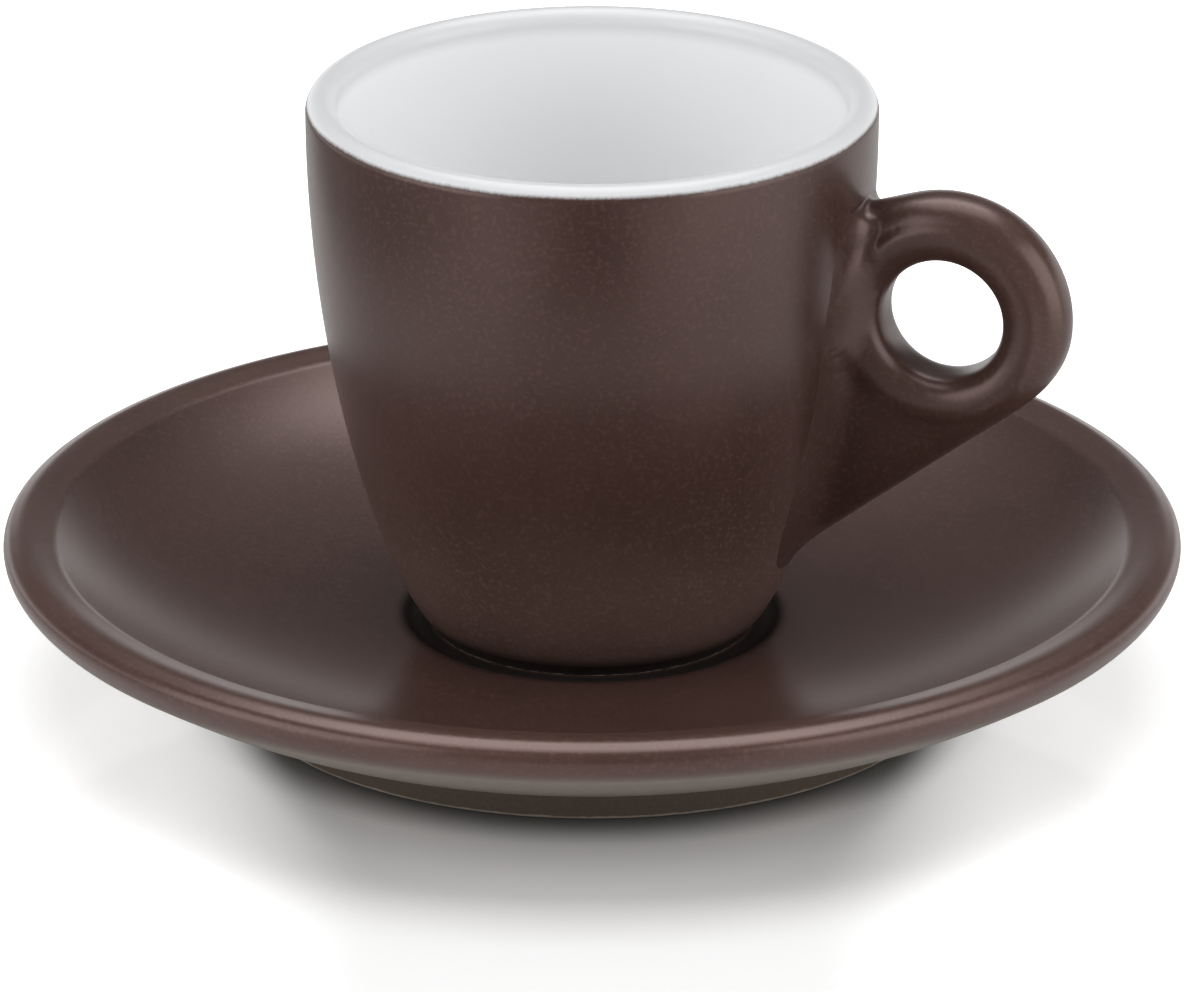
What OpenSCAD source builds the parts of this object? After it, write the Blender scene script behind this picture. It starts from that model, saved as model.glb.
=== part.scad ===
// Espresso cup with its saucer: a tapered stoneware cup with a round ring handle
// and a white lining, standing in the well of a dished saucer with a thick rim.
// The axis of both is Z. The saucer's foot ring rests on Z = 0. The handle points along +X.

/* [Cup] */
// Diameter across the outside of the rim
cup_d = 60; // [54:0.5:68]
// Height of the cup from its foot to the top of the rim
cup_h = 58.8; // [52:0.1:68]
// Thickness of the wall at the rim, which is fully rounded
cup_wall = 2.8; // [2:0.1:3.6]
// How far the wall drops plumb below the rim before it draws in
wall_plumb = 33.4; // [20:0.1:36]
// Diameter of the foot ring where the wall ends on it
cup_foot_d = 35.6; // [28:0.2:38]
// Height of the foot ring
cup_foot_h = 1.2; // [0.8:0.1:3]
// How far the wall's turn above the foot reaches outward
turn_out = 2; // [1:0.1:9]
// How far the wall's turn above the foot reaches upward
turn_up = 1; // [0.5:0.1:10]
// Thickness of the clay floor over the foot ring
cup_floor = 3.4; // [2.4:0.1:5]
// Height over which the inside turns from the wall into its floor
bowl_round = 7; // [5:0.5:12]
// Thickness of the white lining glaze
lining_t = 0.4; // [0.2:0.05:0.8]

/* [Cup foot] */
// Width of the cup's foot ring where it stands
cup_foot_w = 3.2; // [2:0.1:5]
// Draft of the foot ring's outer face, from the wall in to the standing face
cup_foot_draft = 0.5; // [0:0.1:1]
// Depth of the turned recess inside the foot ring
cup_recess = 1; // [0.4:0.1:1.6]
// Rounding of the foot ring's two standing edges
cup_foot_round = 0.4; // [0.2:0.05:0.6]

/* [Handle] */
// Distance from the rim, outward, to the middle of the finger hole
ring_away = 8.5; // [6:0.1:12]
// Depth of the finger hole's middle below the top of the rim
ring_drop = 20.6; // [17:0.1:26]
// Diameter of the finger hole
finger_d = 13.3; // [11:0.1:15]
// Width of the ring, from the finger hole to the outside
ring_w = 6.3; // [5:0.1:8]
// Thickness of the ring, across the handle
ring_t = 8; // [5:0.1:9]
// Angle under the ring where the tail leaves it for the cup, from straight down
tail_angle = 35; // [26:1:44]
// How far the faces of the handle flare out where they meet the cup's wall
flare_side = 2.8; // [0:0.1:4]
// How far its top and bottom edges flare there
flare_edge = 0.2; // [0:0.1:2]
// Distance from the wall at which the flare begins
flare_reach = 4.2; // [2:0.1:5]

/* [Saucer] */
// Diameter of the saucer
saucer_d = 125; // [115:0.5:140]
// Height of the saucer from the table to the top of the rim
saucer_h = 18.3; // [16:0.1:22]
// Width of the rim's crown, from the shoulder inside it to the outside
rim_w = 5; // [4:0.1:6.5]
// Height of the rim's outer face, from the top to the edge below it
rim_t = 4.4; // [3.6:0.1:5.4]
// Thickness of the middle under the well
saucer_floor = 4.5; // [3.5:0.1:5.5]
// Diameter of the well that the cup stands in
well_d = 40.6; // [40:0.1:46]
// Depth of the well
well_depth = 0.7; // [0.4:0.05:1.2]
// Radius of the well's rounded shoulder
well_round = 0.8; // [0.4:0.05:1.2]

/* [Saucer foot] */
// Outer diameter of the saucer's foot ring on the table
foot_d = 76.4; // [70:0.2:84]
// Width of the foot ring where it stands
foot_w = 4.2; // [3:0.1:6]
// Height of the foot ring's inside, under the middle
foot_h = 2.9; // [2:0.1:3.6]
// Rounding of the foot ring's edges
foot_round = 0.7; // [0.3:0.05:1]

/* [Hidden] */

// Smoothness
$fn = 96;
curve_steps = 22;
arc_steps = 10;
lip_steps = 12;
ring_steps = 60;
section_steps = 30;

// Colours of the satin brown glaze and the white lining
brown = [0.27, 0.2, 0.185];
brown_handle = [0.29, 0.215, 0.2];
brown_saucer = [0.31, 0.25, 0.24];
white = [0.93, 0.93, 0.92];

// Where the cup stands on the saucer
seat_z = foot_h + saucer_floor;

// Cup: the visible outside and inside, as points of radius and height above the cup's foot
rim_r = cup_d / 2;
lip_r = cup_wall / 2;
lip_z = cup_h - lip_r;
cup_foot_r = cup_foot_d / 2;
// Pulls of the turn into the floor, as shares of its height and of its radius
bowl_turn_share = 0.7;
bowl_flat_share = 0.6;
inside_z = cup_foot_h + cup_floor;
// Angle on the lip's round, from straight outward, where the lining's edge lies
lining_from = 35;

// Handle: the finger hole's middle, then overruns and shape shares
ring_x = rim_r + ring_away;
ring_z = cup_h - ring_drop;
ring_mid = finger_d / 2 + ring_w / 2;
ring_out = finger_d / 2 + ring_w;
// Angle round the finger hole, from +X, where the tail's straight edge leaves the ring
tail_from = 270 + tail_angle;
// Angle from there over which the tail's edge is sure to be bare, outside the cup
tail_bare = 58;
// Angles between which the ring's outer edge, now inside the cup's wall, turns to run down in it
bury_from = 130;
bury_to = 150;
// Where that buried edge runs, as shares of the rim's radius at the top and foot of the cup
buried_top_share = 0.86;
buried_foot_share = 0.58;
// Squareness of the ring's section: 2 is an ellipse, more is fuller
section_power = 4.5;

// Saucer
saucer_r = saucer_d / 2;
foot_r = foot_d / 2;
well_r = well_d / 2;
dish_z = seat_z + well_depth;
// Rim: a shoulder where the dish ends, a low crown, a soft edge, a bulging outer face and a crisp
// edge below it. The shoulder's and the soft edge's rounds, and how far they lie inside the rim
shoulder_drop = 0.4;
shoulder_round = 0.8;
edge_in = 0.44;
edge_drop = 0.72;
edge_round = 0.4;
lower_in = 1.55;
crown_top_share = 0.5;
// Slopes of the section, followed from the well out over the rim and back to the foot
dish_slope = 38;
shoulder_slope = 14;
edge_slope = -24;
face_top_slope = -81;
face_low_slope = -140;
lower_slope = -147;
// Slope of the underside where it meets the foot ring
under_slope = 20;
// Pulls of the section's curves, as shares of their spans
dish_flat_share = 0.44;
dish_rise_share = 0.29;
crown_share = 0.36;
face_top_share = 0.32;
face_low_share = 0.37;
under_rim_share = 0.5;
under_foot_share = 0.36;
// Draft of the foot ring's outer face
foot_draft = 0.7;
foot_top = foot_h + foot_round;

// A point on a cubic curve, and the whole curve
function cubic(a, b, c, d, t) =
    pow(1 - t, 3) * a + 3 * pow(1 - t, 2) * t * b + 3 * (1 - t) * t * t * c + t * t * t * d;
function curve(a, b, c, d, steps = curve_steps) =
    [for (i = [0 : steps]) cubic(a, b, c, d, i / steps)];

// Points along an arc round c, from one angle to another
function arc(c, r, from, to, steps = arc_steps) =
    [for (i = [0 : steps]) let (a = from + (to - from) * i / steps) c + r * [cos(a), sin(a)]];

// A line of points moved sideways by d, to the right of its direction
function unit(v) = v / norm(v);
function moved(points, d) =
    [for (i = [0 : len(points) - 1])
        let (along = unit(points[min(i + 1, len(points) - 1)] - points[max(i - 1, 0)]))
        points[i] + d * [along[1], -along[0]]];
function from_second(points) = [for (i = [1 : len(points) - 1]) points[i]];

// The cup's outside, from the rim down to the foot ring
function outside() =
    curve([rim_r, lip_z], [rim_r, lip_z - wall_plumb],
          [cup_foot_r + turn_out, cup_foot_h + turn_up], [cup_foot_r, cup_foot_h]);

// The cup's inside, from the rim down to the middle of the bowl: the wall's thickness inside the
// outside, then a round turn to the floor
function bowl() =
    let (line = [for (p = moved(outside(), cup_wall)) if (p[1] > inside_z + bowl_round) p],
         last = line[len(line) - 1],
         down = unit(last - line[len(line) - 2]))
    concat(line, from_second(curve(last, last + bowl_round * bowl_turn_share * down,
                                   [last[0] * bowl_flat_share, inside_z], [0, inside_z],
                                   arc_steps)));
// The clay under the lining
function clay_bowl() =
    let (line = moved(bowl(), -lining_t), last = len(line) - 1)
    [for (i = [0 : last]) i == last ? [0, inside_z - lining_t] : line[i]];

// Radius of the cup's outside at a height above its foot
function wall_r(z) = lookup(z, [for (p = outside()) [p[1], p[0]]]);

// The lip: a half round over the wall's middle, from outside to inside
lip_c = [rim_r - lip_r, lip_z];
function bare_lip() = arc(lip_c, lip_r, lining_from, 0, lip_steps / 2);
function clay_lip() = arc(lip_c, lip_r - lining_t, lining_from, 180, lip_steps);
function glaze_lip() = arc(lip_c, lip_r, lining_from, 180, lip_steps);

module cup_body() {
    stand_r = cup_foot_r - cup_foot_draft;
    foot_in = stand_r - cup_foot_w;
    color(brown)
        translate([0, 0, seat_z])
            rotate_extrude()
                polygon(concat(
                    bare_lip(),
                    from_second(outside()),
                    arc([stand_r - cup_foot_round, cup_foot_round], cup_foot_round, 0, -90, lip_steps / 2),
                    arc([foot_in + cup_foot_round, cup_foot_round], cup_foot_round, -90, -180,
                        lip_steps / 2),
                    [[foot_in - cup_foot_draft, cup_recess], [0, cup_recess]],
                    [for (i = [len(clay_bowl()) - 1 : -1 : 1]) clay_bowl()[i]],
                    [for (i = [len(clay_lip()) - 1 : -1 : 0]) clay_lip()[i]]));
}

module lining_glaze() {
    color(white)
        translate([0, 0, seat_z])
            rotate_extrude()
                polygon(concat(
                    glaze_lip(),
                    from_second(bowl()),
                    [for (i = [len(clay_bowl()) - 1 : -1 : 1]) clay_bowl()[i]],
                    [for (i = [len(clay_lip()) - 1 : -1 : 0]) clay_lip()[i]]));
}

// Handle: a ring round the finger hole, whose lower edge runs off straight to the cup as a tail.
// It is lofted in sections that turn about the hole's middle. Angle a is measured from +X upward.

// Distance from the hole's middle to the tail's straight edge, and to the edge buried in the cup
function tail_reach(a) = ring_out / cos(tail_from - a);
function buried_reach(a) =
    let (top = rim_r * buried_top_share, low = rim_r * buried_foot_share,
         lean = atan2(top - low, cup_h),
         away = (ring_x - low) * cos(lean) - ring_z * sin(lean))
    away / -cos(a + lean);
function blend(from, to, share) = from + (to - from) * share;
// Distance from the hole's middle to the handle's outer edge
function reach(a) =
    (a <= bury_from || a >= tail_from) ? ring_out
    : a < bury_to ? blend(ring_out, buried_reach(a), (a - bury_from) / (bury_to - bury_from))
    : a <= tail_from - 90 ? buried_reach(a)
    : a < tail_from - tail_bare ? min(tail_reach(a), buried_reach(a))
    : tail_reach(a);

// A power that keeps its sign, for sections squarer than an ellipse
function signed_power(v, p) = sign(v) * pow(abs(v), p);

// A point of the section at angle a: b goes round the section, from the outer edge over the near
// face to the finger hole
function section_point(a, b) =
    let (u = signed_power(cos(b), 2 / section_power),
         v = signed_power(sin(b), 2 / section_power),
         d = ring_mid + u * (u > 0 ? reach(a) - ring_mid : ring_w / 2))
    [ring_x + d * cos(a), v * ring_t / 2, ring_z + d * sin(a)];

// The flare at the root pushes the surface out along the wall: by the whole flare at the wall,
// fading to nothing at the flare's reach, and straight on inside the wall
function flare(gap) =
    let (near = gap / flare_reach)
    near >= 1 ? 0 : near <= 0 ? 1 - 2 * near : pow(1 - near, 2);
function rooted(p, a, b) =
    let (push = flare(norm([p[0], p[1]]) - wall_r(p[2])),
         edge = cos(b) > 0 ? cos(b) * sin(a) : 0)
    [p[0], p[1] + sin(b) * push * flare_side, p[2] + edge * push * flare_edge];

module handle_blank() {
    angles = [for (i = [0 : ring_steps - 1]) 360 * i / ring_steps];
    turns = [for (j = [0 : section_steps - 1]) 360 * j / section_steps];
    points = [for (a = angles) for (b = turns) rooted(section_point(a, b), a, b)];
    n = section_steps;
    faces = [for (i = [0 : ring_steps - 1]) for (j = [0 : n - 1]) for (half = [0, 1])
        let (here = i * n, next = ((i + 1) % ring_steps) * n, k = (j + 1) % n)
        half == 0 ? [here + j, next + j, next + k] : [here + j, next + k, here + k]];
    polyhedron(points, faces, convexity = 6);
}

module cup_handle() {
    color(brown_handle)
        translate([0, 0, seat_z])
            difference() {
                handle_blank();
                rotate_extrude()
                    polygon(concat([[0, cup_h]], [[rim_r, cup_h]], outside(), [[0, cup_foot_h]]));
            }
}

// A curve between two points from the slopes of the line there, and its pulls as shares of its length
function swept(a, a_slope, a_share, b, b_slope, b_share, steps = curve_steps) =
    let (span = norm(b - a))
    from_second(curve(a, a + span * a_share * [cos(a_slope), sin(a_slope)],
                      b - span * b_share * [cos(b_slope), sin(b_slope)], b, steps));

// Saucer: one turned profile, from the middle of the well out over the rim and back under
module saucer() {
    shoulder_c = [saucer_r - rim_w, saucer_h - shoulder_drop - shoulder_round];
    shoulder = arc(shoulder_c, shoulder_round, dish_slope + 90, shoulder_slope + 90, lip_steps / 2);
    edge_c = [saucer_r - edge_in, saucer_h - edge_drop];
    edge = arc(edge_c, edge_round, edge_slope + 90, face_top_slope + 90, lip_steps / 2);
    dish_from = [well_r + well_round, dish_z];
    crown_top = [saucer_r - rim_w * crown_top_share, saucer_h];
    lower_edge = [saucer_r - lower_in, saucer_h - rim_t];
    foot_in = foot_r - foot_w;
    color(brown_saucer)
        rotate_extrude()
            polygon(concat(
                [[0, seat_z], [well_r - well_round, seat_z]],
                curve([well_r - well_round, seat_z], [well_r, seat_z],
                      [well_r, dish_z], dish_from, arc_steps),
                swept(dish_from, 0, dish_flat_share, shoulder[0], dish_slope, dish_rise_share),
                from_second(shoulder),
                swept(shoulder[len(shoulder) - 1], shoulder_slope, crown_share,
                      crown_top, 0, crown_share, arc_steps / 2),
                swept(crown_top, 0, crown_share, edge[0], edge_slope, crown_share, arc_steps / 2),
                from_second(edge),
                swept(edge[len(edge) - 1], face_top_slope, face_top_share,
                      lower_edge, face_low_slope, face_low_share, arc_steps),
                swept(lower_edge, lower_slope, under_rim_share,
                      [foot_r + foot_draft, foot_top], under_slope + 180, under_foot_share),
                arc([foot_r - foot_round, foot_round], foot_round, 0, -90),
                arc([foot_in + foot_round, foot_round], foot_round, -90, -180),
                arc([foot_in - foot_round, foot_h - foot_round], foot_round, 0, 90),
                [[0, foot_h]]));
}

saucer();
cup_body();
cup_handle();
lining_glaze();
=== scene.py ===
import math

import bpy
from bpy.props import FloatProperty, FloatVectorProperty, IntProperty, PointerProperty
from mathutils import Matrix, Vector


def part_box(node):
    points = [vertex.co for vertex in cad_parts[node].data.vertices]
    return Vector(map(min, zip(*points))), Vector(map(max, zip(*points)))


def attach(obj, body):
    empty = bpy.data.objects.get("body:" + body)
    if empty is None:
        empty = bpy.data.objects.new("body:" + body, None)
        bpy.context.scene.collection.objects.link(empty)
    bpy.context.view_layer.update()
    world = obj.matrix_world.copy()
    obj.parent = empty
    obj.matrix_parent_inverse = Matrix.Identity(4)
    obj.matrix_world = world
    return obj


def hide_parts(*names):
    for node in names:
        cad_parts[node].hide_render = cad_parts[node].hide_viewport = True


bl_info = {
    "name": "Espresso Cup and Saucer",
    "version": (1, 0, 0),
    "blender": (4, 5, 0),
    "location": "View3D > Sidebar > Espresso Cup",
    "description": "Turns and glazes a stoneware espresso cup with a ring handle, and its saucer",
    "category": "Add Mesh",
}

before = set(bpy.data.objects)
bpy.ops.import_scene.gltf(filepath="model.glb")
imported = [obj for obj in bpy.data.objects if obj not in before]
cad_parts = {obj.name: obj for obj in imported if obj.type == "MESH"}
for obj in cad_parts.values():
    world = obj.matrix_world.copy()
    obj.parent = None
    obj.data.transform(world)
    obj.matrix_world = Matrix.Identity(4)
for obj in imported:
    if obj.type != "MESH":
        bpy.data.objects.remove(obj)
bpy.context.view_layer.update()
SAUCER_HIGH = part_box("saucer")[1]
CUP_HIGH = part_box("cup_body")[1]
LINING_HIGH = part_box("lining_glaze")[1]
SEAT_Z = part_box("cup_body")[0].z
NEAR = 1e-6


# Sizes and colours to change

def length(name, description, default):
    return FloatProperty(name=name, description=description, default=default, min=0.0,
                         unit="LENGTH", precision=5)


def share(name, description, default):
    return FloatProperty(name=name, description=description, default=default, min=0.0, max=1.0,
                         subtype="FACTOR")


def angle(name, description, default):
    return FloatProperty(name=name, description=description, default=math.radians(default),
                         subtype="ANGLE")


def colour(name, description, default):
    return FloatVectorProperty(name=name, description=description, default=default, size=3,
                               min=0.0, max=1.0, subtype="COLOR")


class EspressoCupSizes(bpy.types.PropertyGroup):
    """Sizes of the cup's shell and its white lining"""
    rim_radius: length("Rim radius", "Outside of the rim, from the axis", CUP_HIGH.x)
    top: length("Top of rim", "Height of the rim's top over the table", LINING_HIGH.z)
    seat: length("Seat", "Height of the cup's foot over the table", SEAT_Z)
    wall: length("Wall", "Thickness of the wall at the rim", 0.0033)
    plumb: length("Plumb wall", "Drop below the rim before the wall draws in", 0.03315)
    foot_radius: length("Foot radius", "Where the wall ends on the foot ring", 0.0178)
    foot_height: length("Foot height", "Height of the foot ring", 0.0012)
    foot_width: length("Foot width", "Width of the standing ring", 0.0032)
    foot_draft: length("Foot draft", "How far the foot ring draws in downward", 0.0005)
    foot_round: length("Foot rounding", "Radius of the standing edges", 0.0004)
    recess: length("Recess", "Depth of the turned recess under the cup", 0.001)
    turn_out: length("Turn outward", "Reach outward of the turn above the foot", 0.002)
    turn_up: length("Turn upward", "Reach upward of the turn above the foot", 0.001)
    floor: length("Floor", "Thickness of the clay floor", 0.0034)
    bowl_round: length("Bowl turn", "Height of the inside's turn into its floor", 0.007)
    lining: length("Lining", "Thickness of the white glaze", 0.0004)
    lining_from: angle("Lining edge", "Where the lining ends on the lip, from straight outward",
                       17.0)
    steps: IntProperty(name="Steps", description="Steps round the axis", default=240, min=32)


class EspressoHandleSizes(bpy.types.PropertyGroup):
    """Sizes of the ring handle"""
    ring_away: length("Ring away", "From the rim outward to the finger hole's middle", 0.00865)
    ring_drop: length("Ring drop", "From the rim's top down to the finger hole's middle", 0.0203)
    finger: length("Finger hole", "Diameter of the finger hole", 0.0128)
    width: length("Ring width", "From the finger hole to the outside", 0.0070)
    thick: length("Ring thickness", "Across the handle", 0.0080)
    corner: length("Outer corner", "Rounding of the ring's outer edges", 0.0035)
    hole_corner: length("Hole corner", "Rounding of the finger hole's edges", 0.0026)
    web_share: share("Web thickness", "Thickness of the tail's web against the ring's", 0.84)
    tail: angle("Tail angle", "Where the tail leaves the ring, from straight down", 37.5)
    tail_in: length("Tail set in", "How far the tail's edge lies inside the ring's outside", 0.0009)
    root_side: length("Side fillet", "Spread of the faces' fillets on the wall", 0.0058)
    root_top: length("Top fillet", "Spread of the upper edge's fillet on the wall", 0.0008)
    root_foot: length("Foot fillet", "Spread of the tail edge's fillet on the wall", 0.0026)
    root_start: length("Fillet start", "Distance from the wall at which the fillets begin", 0.0028)
    steps: IntProperty(name="Steps", description="Sections round the finger hole", default=72,
                       min=24)


class EspressoSaucerSizes(bpy.types.PropertyGroup):
    """Sizes of the saucer"""
    radius: length("Radius", "Outside of the rim, from the axis", SAUCER_HIGH.x)
    height: length("Height", "Top of the rim over the table", SAUCER_HIGH.z)
    crown: length("Crown", "Width of the rim from the shoulder inside it", 0.0046)
    face: length("Outer face", "Height of the rim's outer face", 0.0044)
    seat: length("Seat", "Height of the well's floor over the table", SEAT_Z)
    well: length("Well radius", "Radius of the well that the cup stands in", 0.0196)
    well_depth: length("Well depth", "Depth of the well", 0.0007)
    well_round: length("Well shoulder", "Radius of the well's shoulder", 0.0011)
    foot: length("Foot radius", "Outside of the foot ring on the table", 0.0382)
    foot_width: length("Foot width", "Width of the foot ring", 0.0042)
    foot_height: length("Foot height", "Height of the foot ring's inside", 0.0029)
    foot_round: length("Foot rounding", "Radius of the foot ring's edges", 0.0007)
    foot_draft: length("Foot draft", "Draft of the foot ring's outer face", 0.0007)
    steps: IntProperty(name="Steps", description="Steps round the axis", default=256, min=32)


class EspressoGlazes(bpy.types.PropertyGroup):
    """Colours and gloss of the glazes"""
    brown: colour("Brown glaze", "Main colour of the satin brown glaze", (0.052, 0.026, 0.0208))
    brown_deep: colour("Deep brown", "Colour in the darker grains", (0.031, 0.0150, 0.0118))
    brown_warm: colour("Warm brown", "Colour in the paler grains", (0.078, 0.0430, 0.0355))
    # The white is painted darker on the lip and lighter inside: painted shade and painted light
    # that even out the light falling on them
    white: colour("White glaze", "Colour of the lining", (0.58, 0.585, 0.595))
    white_inside_painted_light: colour("Inside white painted lighter", "Colour of the lining inside", (0.85, 0.855, 0.865))
    clay: colour("Bare clay", "Colour of the unglazed standing rings", (0.33, 0.28, 0.23))
    satin: share("Satin roughness", "Roughness of the brown glaze", 0.305)
    gloss: share("Gloss roughness", "Roughness of the white glaze", 0.29)


class EspressoStage(bpy.types.PropertyGroup):
    """Floor, light and camera"""
    floor: colour("Floor", "Colour of the floor", (0.90, 0.90, 0.90))
    lens: FloatProperty(name="Lens", description="Focal length of the camera", default=304.38,
                        unit="CAMERA")
    turn: angle("Camera turn", "Turn of the camera round the cup, from the front", 17.0)
    tilt: angle("Camera tilt", "Tilt of the camera below level", 21.4436)
    away: length("Camera distance", "Level distance from the cup's axis", 1.0015)
    height: length("Camera height", "Height over the table", 0.41440)


# Lines and curves

def cubic(a, b, c, d, steps=24):
    """Points of a cubic curve with ends a and d and pulls b and c."""
    a, b, c, d = (Vector(p) for p in (a, b, c, d))
    made = []
    for i in range(steps + 1):
        t = i / steps
        made.append((1 - t) ** 3 * a + 3 * (1 - t) ** 2 * t * b + 3 * (1 - t) * t * t * c
                    + t ** 3 * d)
    return made


def arc(centre, radius, first, last, steps=12):
    """Points of an arc, with its angles in degrees."""
    made = []
    for i in range(steps + 1):
        turn = math.radians(first + (last - first) * i / steps)
        made.append(Vector(centre) + radius * Vector((math.cos(turn), math.sin(turn))))
    return made


def moved(line, distance):
    """The line moved sideways, to the right of its direction."""
    made = []
    for i, point in enumerate(line):
        along = (line[min(i + 1, len(line) - 1)] - line[max(i - 1, 0)]).normalized()
        made.append(point + distance * Vector((along.y, -along.x)))
    return made


def swept(a, a_slope, a_pull, b, b_slope, b_pull, steps):
    """A curve from the slopes at its ends in degrees, and its pulls as shares of its length."""
    a, b = Vector(a), Vector(b)
    span = (b - a).length
    first, last = math.radians(a_slope), math.radians(b_slope)
    return cubic(a, a + span * a_pull * Vector((math.cos(first), math.sin(first))),
                 b - span * b_pull * Vector((math.cos(last), math.sin(last))), b, steps)


def eased(part):
    """A share from 0 to 1, with a soft start and end."""
    part = min(1.0, max(0.0, part))
    return part * part * (3 - 2 * part)


def straight(a, b, steps):
    return [Vector(a).lerp(Vector(b), i / steps) for i in range(steps + 1)]


def joined(*lines):
    """One line of several, without the points that repeat."""
    made = []
    for line in lines:
        for point in line:
            point = Vector(point)
            if not made or (point - made[-1]).length > NEAR:
                made.append(point)
    return made


# Modelling steps

def deselect():
    if bpy.context.object and bpy.context.object.mode != "OBJECT":
        bpy.ops.object.mode_set(mode="OBJECT")
    bpy.ops.object.select_all(action="DESELECT")


def edit():
    bpy.ops.object.mode_set(mode="EDIT")
    bpy.ops.mesh.select_mode(type="VERT")


def pick(piece, test):
    """Selects the vertices that pass the test, and leaves the piece in edit mode."""
    bpy.ops.object.mode_set(mode="OBJECT")
    mesh = piece.data
    for part in (mesh.polygons, mesh.edges):
        part.foreach_set("select", [False] * len(part))
    mesh.vertices.foreach_set("select", [test(v) for v in mesh.vertices])
    edit()


def finish_piece(piece, name, body, node, material, smooth=40.0):
    """Applies the place, shades faces smooth up to an angle and ties the piece to the frame."""
    bpy.ops.object.mode_set(mode="OBJECT")
    bpy.ops.object.transform_apply(location=True, rotation=True, scale=True)
    bpy.ops.object.shade_smooth_by_angle(angle=math.radians(smooth))
    piece.name = piece.data.name = name
    piece.data.materials.clear()
    piece.data.materials.append(material)
    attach(piece, body)
    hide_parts(node)
    return piece


def turned(line, steps):
    """A body turned on the wheel: its half section is drawn point by point, then spun."""
    deselect()
    start = line[0]
    bpy.ops.mesh.primitive_plane_add(size=NEAR, location=(start.x, 0, start.y))
    piece = bpy.context.object
    edit()
    bpy.ops.mesh.select_all(action="SELECT")
    bpy.ops.mesh.merge(type="CENTER")
    for here, there in zip(line, line[1:]):
        step = there - here
        bpy.ops.mesh.extrude_vertices_move(
            TRANSFORM_OT_translate={"value": (step.x, 0, step.y)})
    bpy.ops.mesh.select_all(action="SELECT")
    bpy.ops.mesh.spin(steps=steps, angle=math.tau, center=(0, 0, 0), axis=(0, 0, 1))
    bpy.ops.mesh.select_all(action="SELECT")
    bpy.ops.mesh.remove_doubles(threshold=10 * NEAR)
    bpy.ops.mesh.normals_make_consistent(inside=False)
    return piece


# The cup's lines

BOWL_TURN = 0.7
BOWL_FLAT = 0.6


def cup_outside(cup):
    """The wall's outside, from the rim down to the foot ring, as radius and height."""
    lip = cup.top - cup.wall / 2
    foot = cup.seat + cup.foot_height
    return cubic((cup.rim_radius, lip), (cup.rim_radius, lip - cup.plumb),
                 (cup.foot_radius + cup.turn_out, foot + cup.turn_up), (cup.foot_radius, foot), 60)


def cup_bowl(cup):
    """The visible inside, from the rim down to the middle of the bowl."""
    floor = cup.seat + cup.foot_height + cup.floor
    line = [p for p in moved(cup_outside(cup), cup.wall) if p.y > floor + cup.bowl_round]
    down = (line[-1] - line[-2]).normalized()
    turn = cubic(line[-1], line[-1] + cup.bowl_round * BOWL_TURN * down,
                 (line[-1].x * BOWL_FLAT, floor), (0, floor), 24)
    return line + turn[1:]


def clay_bowl(cup):
    """The clay's inside under the lining, from the rim down to the middle."""
    line = moved(cup_bowl(cup), -cup.lining)
    return line[:-1] + [Vector((0, line[-1].y))]


def wall_line(cup):
    """Gives a function from a height to the radius and slope of the wall's outside."""
    line = cup_outside(cup)

    def at(height):
        if height >= line[0].y:
            return line[0].x, 0.0
        for upper, lower in zip(line, line[1:]):
            if height >= lower.y:
                part = (upper.y - height) / (upper.y - lower.y)
                slope = (upper.x - lower.x) / (upper.y - lower.y)
                return upper.x + (lower.x - upper.x) * part, slope
        return line[-1].x, 0.0
    return at


# Materials

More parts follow.
